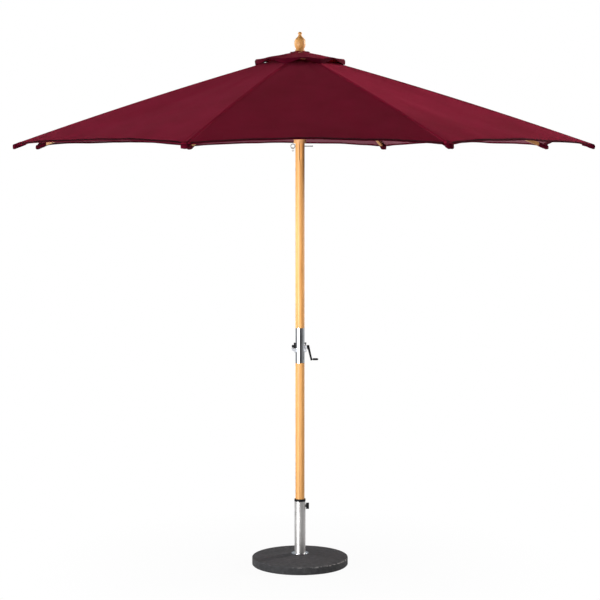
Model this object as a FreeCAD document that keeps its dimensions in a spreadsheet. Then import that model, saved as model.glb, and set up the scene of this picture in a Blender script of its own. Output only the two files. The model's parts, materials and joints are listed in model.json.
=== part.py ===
import FreeCAD, Part
import math
import os

import Sketcher

# A crank-lift patio umbrella with a round weighted base.
# Frame: +Z up, origin on the floor under the middle of the pole, crank towards +X. Millimetres and degrees.

doc = FreeCAD.newDocument("patio_umbrella")
sheet = doc.addObject("Spreadsheet::Sheet", "Sizes")

SIZES = {
    # canopy
    "canopy_radius": 1500.0,       # pole axis to a corner of the canopy
    "canopy_corner_height": 2167.0,  # middle of a rib's outer end
    "fabric_thickness": 1.2,
    "fabric_gap": 1.2,             # rib top to fabric
    "seam_gap": 0.15,              # panel edge to the plane of its rib
    "hem_hollow": 14.0,            # how far a hem's middle lies inside its chord
    "vent_radius": 130.0,
    "cap_radius": 232.0,
    "cap_fall": 48.0,              # from the crown to the cap's corners
    "crown_above_pins": 32.0,      # hub pins to the cap at the finial
    # folding frame
    "pin_circle_radius": 36.0,     # hub and runner pins
    "hub_pin_height": 2620.0,
    "pin_radius": 2.5,
    "pin_length": 24.6,
    "running_clearance": 0.05,
    "rib_width": 16.0,
    "rib_root_radius": 10.0,
    "rib_tip_half_depth": 8.0,
    "rib_rise": 13.0,              # bow of the rib above its chord
    "strut_length": 640.0,         # between its two pins
    "strut_width": 13.0,
    "strut_half_depth": 7.0,
    "strut_pin_drop": 6.5,         # strut pin below the rib's chord
    "cheek_thickness": 2.0,
    "rivet_radius": 2.0,
    "slot_clearance": 0.3,
    # hub and runner
    "hub_radius": 44.0,
    "hub_skirt": 16.0,             # below the pins
    "hub_slot_floor": 25.0,        # radius at the back of a slot
    "hub_slot_height": 11.5,       # pins to the top of a slot
    "hub_plate": 4.5,
    "hub_boss_radius": 22.0,
    "runner_radius": 46.0,
    "runner_top": 9.0,             # above its pins
    "runner_slot_depth": 9.5,      # below its pins
    "runner_slot_floor": 27.5,
    "runner_skirt_radius": 32.0,
    "runner_web": 6.0,             # wood below a slot
    "runner_cone": 10.0,
    "runner_skirt": 44.0,          # below its pins
    # pole
    "pole_radius": 23.5,
    "pole_bore": 8.0,
    "slide_clearance": 0.4,
    "hub_tenon_radius": 20.0,
    "hub_tenon_length": 29.0,
    "sleeve_bottom": 1058.0,
    "sleeve_top": 1239.0,
    "sleeve_wall": 1.5,
    "upper_tenon_length": 54.0,
    "lower_tenon_length": 46.0,
    "edge_break": 1.2,
    "screw_height": 1191.0,
    "screw_radius": 1.6,
    "screw_head_radius": 3.2,
    "screw_head": 1.2,
    "groove_radius": 5.5,
    "groove_depth": 4.5,
    "groove_below_runner": 78.0,
    # pulley
    "pulley_drop": 60.0,           # below the hub pins
    "pulley_offset": 12.0,
    "pulley_radius": 11.0,
    "pulley_width": 6.0,
    "pulley_axle_radius": 2.0,
    "pulley_axle_length": 34.0,
    # lock pin
    "lock_pin_below_runner": 13.5,
    "lock_pin_radius": 2.25,
    "lock_pin_reach": 66.0,
    "lock_hole_radius": 3.0,
    "lock_tip_length": 6.0,
    "ring_radius": 10.8,
    "ring_wire": 1.7,
    "link_radius": 9.0,
    "link_wire": 1.2,
    # winch
    "crank_height": 1142.0,
    "shaft_radius": 5.0,
    "shaft_left_end": 41.0,
    "drum_radius": 11.0,
    "drum_length": 30.0,
    "lobe_radius": 9.0,
    "bowl_radius": 13.0,
    "bowl_drop": 16.0,
    "bowl_step": 2.0,              # how far the lobe stands out past the bowl
    "housing_reach": 34.0,
    "left_reach": 42.0,
    "left_width": 26.0,
    "left_top": 8.0,               # below the crank's axis
    "left_bottom": 31.0,           # below the crank's axis
    "left_end_depth": 9.0,
    "left_turn_radius": 23.0,
    "ratchet_radius": 8.0,
    "ratchet_end": 33.0,
    "ratchet_knob_radius": 7.0,
    "ratchet_knob_lift": 2.0,
    "pawl_width": 14.0,
    "pawl_height": 20.0,           # above the crank's axis
    "oil_cap_gap": 0.6,
    "oil_cap_radius": 4.5,
    "oil_cap_height": 6.0,
    "oil_cap_top": 21.0,           # above the crank's axis
    "oil_stem_radius": 2.5,
    "oil_stem_root": 5.5,          # above the crank's axis
    "crank_hub_radius": 8.0,
    "crank_hub_start": 36.0,
    "crank_hub_length": 12.0,
    "crank_throw": 66.0,
    "brace_drop": 14.0,
    "crank_flare": 16.0,
    "crank_arm_width": 9.0,
    "crank_arm_half": 5.0,
    "grip_start": 67.0,
    "grip_length": 24.0,
    "grip_radius": 5.5,
    "spindle_radius": 2.5,
    "spindle_head": 1.5,
    # base
    "base_radius": 249.0,
    "foot_height": 3.0,
    "foot_radius": 16.0,
    "foot_circle": 205.0,
    "base_side_top": 43.0,
    "base_crown": 58.0,
    "base_edge": 3.0,
    "dome_radius": 2400.0,
    "flange_radius": 44.0,
    "flange_thickness": 4.0,
    "socket_height": 22.0,
    "socket_floor": 4.0,
    "bolt_radius": 6.0,
    "bolt_head_radius": 11.0,
    "bolt_head": 8.0,
    "bolt_recess_radius": 18.0,
    "bolt_recess": 14.0,
    "tube_clearance": 3.0,         # pole to tube
    "tube_wall": 2.0,
    "tube_top": 334.7,
    "collar_lip": 0.75,
    "collar_thickness": 12.0,
    "collar_skirt": 17.0,
    "clamp_height": 309.0,
    "clamp_screw_radius": 4.0,
    "clamp_boss_radius": 7.0,
    "clamp_boss_length": 2.5,
    "clamp_pad_gap": 0.7,
    "clamp_pad_length": 1.8,
    "knob_gap": 0.5,
    "knob_length": 15.0,
    "knob_lobe_radius": 8.5,
    "knob_lobe_offset": 8.0,
    # finial
    "finial_height": 96.0,
    "finial_base_radius": 25.0,
    "finial_waist_radius": 20.5,
    "finial_bulb_radius": 29.0,
    "finial_neck_radius": 8.0,
    "finial_tip_radius": 9.5,
    "finial_stud_radius": 6.0,
    "finial_stud_length": 14.0,
}
RIB_COUNT = 8
SECTOR = 360.0 / RIB_COUNT
FOOT_COUNT = 6
PAST = 2.0  # how far a cutting shape runs past the surface that it opens
LINK_TURN = 55.0  # degrees about Z, out of the pull ring's plane
EDGE_SLOPE = math.tan(math.radians(SECTOR / 2))  # sideways from a rib, for each length along it

for row, (alias, number) in enumerate(SIZES.items(), 1):
    sheet.set("A%d" % row, alias)
    sheet.set("B%d" % row, str(number))
    sheet.setAlias("B%d" % row, alias)
doc.recompute()


class Size:
    """A number together with the sheet expression that gives it."""

    def __init__(self, value, text):
        self.value = value
        self.text = text

    def __add__(self, other):
        other = as_size(other)
        return Size(self.value + other.value, "(%s + %s)" % (self.text, other.text))

    def __sub__(self, other):
        other = as_size(other)
        return Size(self.value - other.value, "(%s - %s)" % (self.text, other.text))

    def __mul__(self, other):
        other = as_size(other)
        return Size(self.value * other.value, "(%s * %s)" % (self.text, other.text))

    def __truediv__(self, other):
        other = as_size(other)
        return Size(self.value / other.value, "(%s / %s)" % (self.text, other.text))

    def __neg__(self):
        return Size(-self.value, "(0 - %s)" % self.text)


def as_size(number):
    return number if isinstance(number, Size) else Size(float(number), repr(float(number)))


def named(alias):
    return Size(getattr(sheet, alias), "Sizes." + alias)


def root(size):
    return Size(math.sqrt(size.value), "sqrt(%s)" % size.text)


# ---------------------------------------------------------------- helpers

def bind(feature, **sizes):
    """Bind properties of a feature to sizes."""
    for name, size in sizes.items():
        feature.setExpression(name, as_size(size).text)


def bind_place(feature, x=0.0, y=0.0, z=0.0):
    for axis, size in zip("xyz", (x, y, z)):
        feature.setExpression("Placement.Base." + axis, as_size(size).text)


TURN = {
    "Z": FreeCAD.Rotation(),
    "X": FreeCAD.Rotation(FreeCAD.Vector(0, 1, 0), 90),
    "Y": FreeCAD.Rotation(FreeCAD.Vector(1, 0, 0), -90),
    "XZ": FreeCAD.Rotation(FreeCAD.Vector(1, 0, 0), 90),
}


def rod(name, radius, length, axis="Z", x=0.0, y=0.0, z=0.0):
    """A cylinder that starts at x, y, z and runs along +axis."""
    cylinder = doc.addObject("Part::Cylinder", name)
    bind(cylinder, Radius=radius, Height=length)
    cylinder.Placement = FreeCAD.Placement(FreeCAD.Vector(), TURN[axis])
    bind_place(cylinder, x, y, z)
    return cylinder


def block(name, length, width, height, x=0.0, y=0.0, z=0.0):
    """A box from its lowest corner."""
    box = doc.addObject("Part::Box", name)
    bind(box, Length=length, Width=width, Height=height)
    bind_place(box, x, y, z)
    return box


def ring(name, centre_radius, wire_radius, axis, x, y, z):
    torus = doc.addObject("Part::Torus", name)
    bind(torus, Radius1=centre_radius, Radius2=wire_radius)
    torus.Placement = FreeCAD.Placement(FreeCAD.Vector(), TURN[axis])
    bind_place(torus, x, y, z)
    return torus


def fuse(name, *pieces):
    joined = doc.addObject("Part::MultiFuse", name)
    joined.Shapes = list(pieces)
    return joined


def cut(name, base, tool):
    result = doc.addObject("Part::Cut", name)
    result.Base = base
    result.Tool = tool
    return result


def group(name, *pieces):
    together = doc.addObject("Part::Compound", name)
    together.Links = list(pieces)
    return together


def add_side(sketch, start, end, bend):
    """Add one side of a loop, straight or an arc, and say which of its ends comes first."""
    first = FreeCAD.Vector(start[0].value, start[1].value, 0)
    last = FreeCAD.Vector(end[0].value, end[1].value, 0)
    if bend is None:
        return sketch.addGeometry(Part.LineSegment(first, last)), 1, 2
    radius, side = bend
    middle = (first + last) * 0.5
    chord = last - first
    reach = math.sqrt(radius.value ** 2 - chord.Length ** 2 / 4)
    left = FreeCAD.Vector(-chord.y, chord.x, 0).normalize()
    centre = middle + left * (reach if side == "right" else -reach)
    begin, finish = (first, last) if side == "right" else (last, first)
    angles = [math.atan2(point.y - centre.y, point.x - centre.x) for point in (begin, finish)]
    if angles[1] < angles[0]:
        angles[1] += 2 * math.pi
    circle = Part.Circle(centre, FreeCAD.Vector(0, 0, 1), radius.value)
    side_index = sketch.addGeometry(Part.ArcOfCircle(circle, angles[0], angles[1]))
    return (side_index, 1, 2) if side == "right" else (side_index, 2, 1)


def constrain(sketch, kind, size, *places):
    number = sketch.addConstraint(Sketcher.Constraint(kind, *places, size.value))
    sketch.setExpression("Constraints[%d]" % number, size.text)


def draw_loop(sketch, corners, bends=None):
    """A closed loop of corners; bends gives a side's (radius, side it bulges to) by its number."""
    corners = [(as_size(x), as_size(y)) for x, y in corners]
    bends = bends or {}
    sides = []
    for number, start in enumerate(corners):
        end = corners[(number + 1) % len(corners)]
        sides.append(add_side(sketch, start, end, bends.get(number)))
    for number, (index, first, last) in enumerate(sides):
        following = sides[(number + 1) % len(sides)]
        sketch.addConstraint(Sketcher.Constraint("Coincident", index, last, following[0], following[1]))
        constrain(sketch, "DistanceX", corners[number][0], -1, 1, index, first)
        constrain(sketch, "DistanceY", corners[number][1], -1, 1, index, first)
        if number in bends:
            constrain(sketch, "Radius", bends[number][0], index)


def draw_circle(sketch, x, y, radius):
    x, y, radius = as_size(x), as_size(y), as_size(radius)
    centre = FreeCAD.Vector(x.value, y.value, 0)
    index = sketch.addGeometry(Part.Circle(centre, FreeCAD.Vector(0, 0, 1), radius.value))
    constrain(sketch, "DistanceX", x, -1, 1, index, 3)
    constrain(sketch, "DistanceY", y, -1, 1, index, 3)
    constrain(sketch, "Radius", radius, index)


def turned(name, corners, bends=None):
    """A body turned about Z from a profile of radius and height."""
    body = doc.addObject("PartDesign::Body", name)
    plane = [item for item in body.Origin.OriginFeatures if item.Role == "XZ_Plane"][0]
    profile = body.newObject("Sketcher::SketchObject", name + "_profile")
    profile.AttachmentSupport = [(plane, "")]
    profile.MapMode = "FlatFace"
    draw_loop(profile, corners, bends)
    revolution = body.newObject("PartDesign::Revolution", name + "_turned")
    revolution.Profile = (profile, [""])
    revolution.ReferenceAxis = (profile, ["V_Axis"])
    revolution.Angle = 360
    return body


def plate(name, width, corners, bends=None, circles=(), flat=False):
    """A plate sketched in XZ (or in XY if flat), with half its width each side of the sketch."""
    sketch = doc.addObject("Sketcher::SketchObject", name + "_outline")
    if not flat:
        sketch.Placement = FreeCAD.Placement(FreeCAD.Vector(), TURN["XZ"])
    draw_loop(sketch, corners, bends)
    for x, y, radius in circles:
        draw_circle(sketch, x, y, radius)
    extrusion = doc.addObject("Part::Extrusion", name)
    extrusion.Base = sketch
    extrusion.DirMode = "Normal"
    extrusion.Solid = True
    extrusion.Symmetric = True
    bind(extrusion, LengthFwd=width)
    return extrusion


def azimuth(number):
    """Direction of a rib; the crank points midway between two ribs."""
    return SECTOR * (number - 0.5)


def place(feature, number, radius=0.0, height=0.0, dip=0.0):
    """Tip a feature down by dip about Y, move it out and up, and turn it to a rib's azimuth."""
    turn = FreeCAD.Rotation(FreeCAD.Vector(0, 0, 1), azimuth(number))
    tip = FreeCAD.Rotation(FreeCAD.Vector(0, 1, 0), dip)
    feature.Placement = FreeCAD.Placement(turn.multVec(FreeCAD.Vector(radius, 0, height)), turn * tip)


# ---------------------------------------------------------------- folding frame geometry

pin_circle = named("pin_circle_radius")
hub_height = named("hub_pin_height")
canopy_radius = named("canopy_radius")
rise = named("rib_rise")
crown_height = hub_height + named("crown_above_pins")

# The chord of a rib runs from its hub pin to the middle of its outer end.
chord_run = canopy_radius - pin_circle
chord_drop = hub_height - named("canopy_corner_height")
chord_length = root(chord_run * chord_run + chord_drop * chord_drop)
chord_dip = math.degrees(math.atan2(chord_drop.value, chord_run.value))

# The strut pin is as far from the hub pin as from the runner pin, so the frame folds exactly.
strut_length = named("strut_length")
pin_drop = named("strut_pin_drop")
pin_along = root(strut_length * strut_length - pin_drop * pin_drop)
strut_pin_radius = pin_circle + (pin_along * chord_run - pin_drop * chord_drop) / chord_length
strut_pin_height = hub_height - (pin_along * chord_drop + pin_drop * chord_run) / chord_length
runner_height = strut_pin_height * 2 - hub_height
strut_dip = math.degrees(math.atan2((hub_height - strut_pin_height).value,
                                    (strut_pin_radius - pin_circle).value))

rib_at_pin = rise * 4 * pin_along * (chord_length - pin_along) / (chord_length * chord_length)
slot_width = named("rib_width") + named("slot_clearance") * 2
strut_slot_width = named("strut_width") + named("slot_clearance") * 2
pin_hole = named("pin_radius") + named("running_clearance")

tube_radius = named("pole_radius") + named("tube_clearance") + named("tube_wall")
boss_reach = tube_radius + named("clamp_boss_length")


# ---------------------------------------------------------------- base

def make_base_weight():
    inner, outer = named("bolt_radius"), named("base_radius")
    bottom, edge = named("foot_height"), named("base_edge")
    recess_top = bottom + named("bolt_recess")
    side_top, crown = named("base_side_top"), named("base_crown")
    corners = [
        (inner, recess_top), (named("bolt_recess_radius"), recess_top),
        (named("bolt_recess_radius"), bottom), (outer - edge, bottom), (outer, bottom + edge),
        (outer, side_top - edge), (outer - edge, side_top), (named("flange_radius") + edge, crown),
        (inner, crown),
    ]
    bends = {5: (edge, "right"), 6: (named("dome_radius"), "right")}
    return turned("base_weight", corners, bends)


def make_base_feet():
    feet = []
    for number in range(FOOT_COUNT):
        angle = math.radians(360.0 / FOOT_COUNT * number)
        feet.append(rod("foot_%d" % (number + 1), named("foot_radius"), named("foot_height"),
                        x=named("foot_circle") * math.cos(angle),
                        y=named("foot_circle") * math.sin(angle)))
    return group("base_feet", *feet)


def make_base_flange():
    seat = named("base_crown")
    top = seat + named("flange_thickness")
    edge = named("edge_break")
    cup_outer = tube_radius - named("tube_wall")
    cup_inner = named("pole_radius") + named("slide_clearance")
    floor = top + named("socket_floor")
    corners = [
        (named("bolt_radius"), seat), (named("flange_radius"), seat), (named("flange_radius"), top - edge),
        (named("flange_radius") - edge, top), (cup_outer, top), (cup_outer, top + named("socket_height")),
        (cup_inner, top + named("socket_height")), (cup_inner, floor), (named("bolt_radius"), floor),
    ]
    return turned("base_flange", corners, {2: (edge, "right")})


def make_base_bolt():
    head_top = named("foot_height") + named("bolt_recess")
    floor = named("base_crown") + named("flange_thickness") + named("socket_floor")
    head_bottom = head_top - named("bolt_head")
    head = doc.addObject("Part::Prism", "bolt_head_hexagon")
    head.Polygon = 6
    bind(head, Circumradius=named("bolt_head_radius"), Height=named("bolt_head"))
    bind_place(head, z=head_bottom)
    shank = rod("bolt_shank", named("bolt_radius"), floor - head_bottom, z=head_bottom)
    return fuse("base_bolt", head, shank)


def make_base_tube():
    bottom = named("base_crown") + named("flange_thickness")
    length = named("tube_top") - bottom
    outside = rod("tube_outside", tube_radius, length, z=bottom)
    boss_start = tube_radius - named("tube_wall") / 2
    boss = rod("tube_boss", named("clamp_boss_radius"), boss_reach - boss_start,
               "X", boss_start, 0, named("clamp_height"))
    inside = rod("tube_inside", tube_radius - named("tube_wall"), length, z=bottom)
    hole = rod("tube_screw_hole", named("clamp_screw_radius") + named("running_clearance"),
               boss_reach, "X", 0, 0, named("clamp_height"))
    return cut("base_tube", fuse("tube_and_boss", outside, boss), fuse("tube_openings", inside, hole))


def make_clamp():
    height = named("clamp_height")
    screw_start = (named("pole_radius") + named("clamp_pad_gap")) + named("clamp_pad_length")
    knob_start, knob_length = (boss_reach + named("knob_gap")), named("knob_length")
    pad = rod("clamp_pad", named("clamp_screw_radius") - 0.4, named("clamp_pad_length"), "X",
              (named("pole_radius") + named("clamp_pad_gap")), 0, height)
    screw = rod("clamp_screw", named("clamp_screw_radius"), knob_start + knob_length - 3 - screw_start,
                "X", screw_start, 0, height)
    lobes = [
        rod("knob_lobe_%s" % label, named("knob_lobe_radius"), knob_length, "X", knob_start,
            0, height + named("knob_lobe_offset") * sign)
        for label, sign in (("lower", -1), ("upper", 1))
    ]
    middle = rod("knob_middle", named("knob_lobe_radius") - 1, knob_length, "X", knob_start, 0, height)
    socket = rod("knob_socket", named("clamp_screw_radius"), knob_length - 3, "X", knob_start, 0, height)
    knob = cut("clamp_knob", fuse("knob_solid", *lobes, middle), socket)
    return [pad, screw, knob]


def make_reducer_collar():
    bore = named("pole_radius") + named("slide_clearance")
    seat = named("tube_top") + named("slot_clearance")
    skirt_radius = tube_radius - named("tube_wall") - named("slot_clearance")
    outer = tube_radius + named("collar_lip")
    top = seat + named("collar_thickness")
    edge = named("edge_break")
    corners = [
        (bore, seat - named("collar_skirt")), (skirt_radius, seat - named("collar_skirt")),
        (skirt_radius, seat), (outer, seat), (outer, top - edge),
        (outer - edge, top), (bore, top),
    ]
    return turned("reducer_collar", corners, {4: (edge, "right")})


# ---------------------------------------------------------------- pole

def make_lower_pole():
    radius, edge = named("pole_radius"), named("edge_break")
    bottom = named("base_crown") + named("flange_thickness") + named("socket_floor") + named("slot_clearance")
    shoulder = named("sleeve_bottom")
    tenon = radius - named("sleeve_wall") - named("slot_clearance")
    top = shoulder + named("lower_tenon_length")
    corners = [
        (0, bottom), (radius - edge, bottom), (radius, bottom + edge), (radius, shoulder),
        (tenon, shoulder), (tenon, top - edge), (tenon - edge, top), (0, top),
    ]
    return turned("lower_pole", corners)


def make_upper_pole():
    radius, bore = named("pole_radius"), named("pole_bore")
    shoulder, top = named("sleeve_top"), hub_height - named("hub_skirt")
    tenon = radius - named("sleeve_wall")
    corners = [
        (bore, shoulder - named("upper_tenon_length")), (tenon, shoulder - named("upper_tenon_length")),
        (tenon, shoulder), (radius, shoulder), (radius, top), (named("hub_tenon_radius"), top),
        (named("hub_tenon_radius"), top + named("hub_tenon_length")), (bore, top + named("hub_tenon_length")),
    ]
    blank = turned("upper_pole_blank", corners)
    pin_height = runner_height - named("runner_skirt") - named("lock_pin_below_runner")
    pin_bore = rod("lock_pin_bore", named("lock_hole_radius"), radius * 2 + PAST * 2, "X",
                   -radius - PAST, 0, pin_height)
    slot_play = named("slot_clearance") * 2
    slot_half = named("pulley_radius") + PAST
    pulley_height = hub_height - named("pulley_drop")
    pulley_slot = block("pulley_slot", radius + PAST * 2, named("pulley_width") + slot_play, slot_half * 2,
                        named("pulley_offset") - slot_half, -(named("pulley_width") + slot_play) / 2,
                        pulley_height - slot_half)
    axle_length = named("pulley_axle_length") + slot_play
    axle_bore = rod("pulley_axle_bore", named("pulley_axle_radius") + named("running_clearance"),
                    axle_length, "Y", named("pulley_offset"), -axle_length / 2, pulley_height)
    groove_bottom = runner_height - named("runner_skirt") - named("groove_below_runner")
    groove_length = named("groove_below_runner") + named("runner_skirt")
    groove_floor = -radius + named("groove_depth")
    groove = block("cord_groove", named("groove_radius") * 2, named("groove_depth") * 2, groove_length,
                   -named("groove_radius"), groove_floor - named("groove_depth") * 2, groove_bottom)
    groove_end = rod("cord_groove_end", named("groove_radius"), named("groove_depth") * 2, "Y", 0,
                     groove_floor - named("groove_depth") * 2, groove_bottom)
    openings = fuse("upper_pole_openings", pin_bore, pulley_slot, axle_bore, groove, groove_end)
    return cut("upper_pole", blank, openings)


def make_pulley_wheel():
    height, offset = hub_height - named("pulley_drop"), named("pulley_offset")
    half = named("pulley_width") / 2
    wheel = rod("pulley_disc", named("pulley_radius"), named("pulley_width"), "Y", offset, -half, height)
    axle = rod("pulley_axle", named("pulley_axle_radius"), named("pulley_axle_length"), "Y", offset,
               -named("pulley_axle_length") / 2, height)
    groove = ring("pulley_rope_groove", named("pulley_radius") + 0.5, 2.0, "Y", offset, 0, height)
    return fuse("pulley_wheel", cut("pulley_grooved", wheel, groove), axle)


def make_joint_sleeve():
    radius, wall = named("pole_radius"), named("sleeve_wall")
    bottom = named("sleeve_bottom") + named("slot_clearance")
    length = named("sleeve_top") - bottom
    outside = rod("sleeve_outside", radius, length, z=bottom)
    inside = rod("sleeve_inside", radius - wall, length, z=bottom)
    shaft_hole = rod("sleeve_shaft_hole", named("shaft_radius") + named("running_clearance"),
                     radius * 2 + PAST * 2, "X", -radius - PAST, 0, named("crank_height"))
    screw_hole = rod("sleeve_screw_hole", named("screw_radius"), radius * 2 + PAST * 2, "Y",
                     0, -radius - PAST, named("screw_height"))
    return cut("joint_sleeve", outside, fuse("sleeve_openings", inside, shaft_hole, screw_hole))


def make_sleeve_screws():
    radius = named("pole_radius")
    grip = named("sleeve_wall") + named("screw_head")
    screws = []
    for label, head_start, shank_start in (
        ("front", -radius - named("screw_head"), -radius - named("screw_head")),
        ("back", radius, radius + named("screw_head") - grip),
    ):
        head = rod("screw_head_" + label, named("screw_head_radius"), named("screw_head"), "Y", 0,
                   head_start, named("screw_height"))
        shank = rod("screw_shank_" + label, named("screw_radius"), grip, "Y", 0, shank_start,
                    named("screw_height"))
        screws.append(fuse("screw_" + label, head, shank))
    return group("sleeve_screws", *screws)


# ---------------------------------------------------------------- winch

def sleeve_space(name):
    """The round space taken by the sleeve and the crank shaft, cut out of a winch casting."""
    around = rod(name + "_sleeve_space", named("pole_radius"), named("sleeve_top") - named("sleeve_bottom"),
                 z=named("sleeve_bottom"))
    reach = named("left_reach") + named("housing_reach") + PAST * 2
    shaft = rod(name + "_shaft_space", named("shaft_radius") + named("running_clearance"), reach, "X",
                -named("left_reach") - PAST, 0, named("crank_height"))
    return fuse(name + "_space", around, shaft)


oil_cap_place = named("pole_radius") + named("oil_cap_gap") + named("oil_cap_radius")


def make_winch_right():
    """The casting on the crank's side: an upper lobe round the shaft and a bowl below it."""
    height, reach = named("crank_height"), named("housing_reach")
    stem = rod("oil_stem_space", named("oil_stem_radius"), named("oil_cap_top"), x=oil_cap_place,
               z=height + named("oil_stem_root"))
    solid = fuse("winch_right_solid",
                 rod("winch_right_lobe", named("lobe_radius"), reach, "X", 0, 0, height),
                 rod("winch_right_bowl", named("bowl_radius"), reach - named("bowl_step"), "X", 0, 0,
                     height - named("bowl_drop")))
    return cut("winch_housing_right", solid, fuse("right_openings", sleeve_space("right"), stem))


def make_winch_left():
    """The casting on the other side, flat on top and narrower towards its foot."""
    left, top = named("left_reach"), named("crank_height") - named("left_top")
    foot = named("crank_height") - named("left_bottom")
    corners = [
        (-left, top), (-left, top - named("left_end_depth")), (-named("pole_radius"), foot),
        (0, foot), (0, top),
    ]
    solid = doc.addObject("Part::MultiCommon", "winch_left_solid")
    solid.Shapes = [plate("winch_left_side", named("left_width"), corners),
                    rod("winch_left_round", named("left_turn_radius"), left, "X", -left, 0, top)]
    return cut("winch_housing_left", solid, sleeve_space("left"))


def make_winch_cover():
    """The black parts: ratchet drum with its pawl and knob on the left, and the oil cap on the right."""
    height, left, ratchet = named("crank_height"), named("left_reach"), named("ratchet_end")
    pawl_depth = named("ratchet_end") - 1
    ratchet_set = fuse("ratchet_solid",
                       rod("ratchet_drum", named("ratchet_radius") - 0.1, ratchet, "X", -ratchet, 0, height),
                       rod("ratchet_knob", named("ratchet_knob_radius"), left - ratchet + 1, "X", -left, 0,
                           height + named("ratchet_knob_lift")),
                       block("pawl", pawl_depth, named("pawl_width"), named("pawl_height"), -pawl_depth,
                             -named("pawl_width") / 2, height))
    cap_bottom = height + named("oil_cap_top") - named("oil_cap_height")
    root_height = height + named("oil_stem_root")
    oil_cap = fuse("oil_cap",
                   rod("oil_cap_head", named("oil_cap_radius"), named("oil_cap_height"),
                       x=oil_cap_place, z=cap_bottom),
                   rod("oil_stem", named("oil_stem_radius"), cap_bottom - root_height + 1,
                       x=oil_cap_place, z=root_height))
    return group("winch_cover", cut("ratchet", ratchet_set, sleeve_space("cover")), oil_cap)


def make_winch_drum():
    height, drum = named("crank_height"), named("drum_length")
    end = named("crank_hub_start") + named("crank_hub_length") - 2
    shaft = rod("winch_shaft", named("shaft_radius"), named("shaft_left_end") + end, "X",
                -named("shaft_left_end"), 0, height)
    reel = rod("winch_reel", named("drum_radius"), drum, "X", -drum / 2, 0, height)
    return fuse("winch_drum", shaft, reel)


def make_crank_arm():
    height, start, length = named("crank_height"), named("crank_hub_start"), named("crank_hub_length")
    throw, flare, half = named("crank_throw"), named("crank_flare"), named("crank_arm_half")
    eye_height = height - throw
    hub = rod("crank_hub", named("crank_hub_radius"), length, "X", start, 0, height)
    eye_start = start + flare + 2
    corners = [
        (start + 2, height - 5), (start + length, height + 5),
        (eye_start + named("crank_arm_width") + 1, eye_height - half), (eye_start + 1, eye_height - half),
    ]
    arm = plate("crank_web", half * 2, corners)
    brace_low = height - named("brace_drop")
    brace = plate("crank_brace", half, [
        (start + 1, height - 5), (start + 1, brace_low), (start + length + 3, brace_low - 1),
        (start + length + 3, brace_low + 4), (start + 6, brace_low + 4), (start + 6, height - 5),
    ])
    eye = rod("crank_eye", half + 1, named("crank_arm_width"), "X", eye_start, 0, eye_height)
    grip_end = named("grip_start") + named("grip_length")
    head = named("spindle_head")
    spindle = rod("grip_spindle", named("spindle_radius"), grip_end + head * 2 - eye_start, "X",
                  eye_start, 0, eye_height)
    spindle_head = rod("grip_spindle_head", named("spindle_radius") + head, head, "X",
                       grip_end + head, 0, eye_height)
    bore = rod("crank_hub_bore", named("shaft_radius"), length - 2, "X", start, 0, height)
    return cut("crank_arm", fuse("crank_arm_solid", hub, arm, brace, eye, spindle, spindle_head), bore)


def make_crank_grip():
    height = named("crank_height") - named("crank_throw")
    sleeve = rod("grip_outside", named("grip_radius"), named("grip_length"), "X",
                 named("grip_start"), 0, height)
    bore = rod("grip_bore", named("spindle_radius") + named("running_clearance"), named("grip_length"),
               "X", named("grip_start"), 0, height)
    return cut("crank_grip", sleeve, bore)


# ---------------------------------------------------------------- hub, runner and their pins

def radial_slots(name, width, floor, reach, bottom, top):
    slots = []
    for number in range(1, RIB_COUNT + 1):
        slot = block("%s_%d" % (name, number), reach - floor + 2, width, top - bottom)
        angle = math.radians(azimuth(number))
        turn = FreeCAD.Rotation(FreeCAD.Vector(0, 0, 1), azimuth(number))
        slot.Placement = FreeCAD.Placement(FreeCAD.Vector(), turn)
        bind_place(slot, floor * math.cos(angle) + width / 2 * math.sin(angle),
                   floor * math.sin(angle) - width / 2 * math.cos(angle), bottom)
        slots.append(slot)
    return slots


def pin_ring(name, height):
    """Eight pins, each lying across the direction of its rib."""
    pins = []
    for number in range(1, RIB_COUNT + 1):
        pin = doc.addObject("Part::Cylinder", "%s_%d" % (name, number))
        bind(pin, Radius=named("pin_radius"), Height=named("pin_length"))
        angle = math.radians(azimuth(number))
        turn = FreeCAD.Rotation(FreeCAD.Vector(0, 0, 1), azimuth(number))
        pin.Placement = FreeCAD.Placement(FreeCAD.Vector(), turn * TURN["Y"])
        half = named("pin_length") / 2
        bind_place(pin, pin_circle * math.cos(angle) + half * math.sin(angle),
                   pin_circle * math.sin(angle) - half * math.cos(angle), height)
        pins.append(pin)
    return pins


def make_top_hub():
    bottom = hub_height - named("hub_skirt")
    ceiling = hub_height + named("hub_slot_height")
    plate_top = ceiling + named("hub_plate")
    crown = crown_height
    tenon = named("hub_tenon_radius")
    socket_top = bottom + named("hub_tenon_length")
    edge = named("edge_break")
    corners = [
        (tenon, bottom), (named("hub_radius") - 6, bottom), (named("hub_radius"), bottom + 6),
        (named("hub_radius"), plate_top - edge), (named("hub_radius") - edge, plate_top),
        (named("hub_boss_radius"), plate_top), (named("hub_boss_radius"), crown),
        (named("finial_stud_radius"), crown), (named("finial_stud_radius"), socket_top), (tenon, socket_top),
    ]
    blank = turned("top_hub_blank", corners, {3: (edge, "right")})
    slots = radial_slots("hub_slot", slot_width, named("hub_slot_floor"), named("hub_radius"),
                         bottom - PAST, ceiling)
    return cut("top_hub", blank, fuse("top_hub_openings", *slots, *pin_ring("hub_pin_hole", hub_height)))


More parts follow.
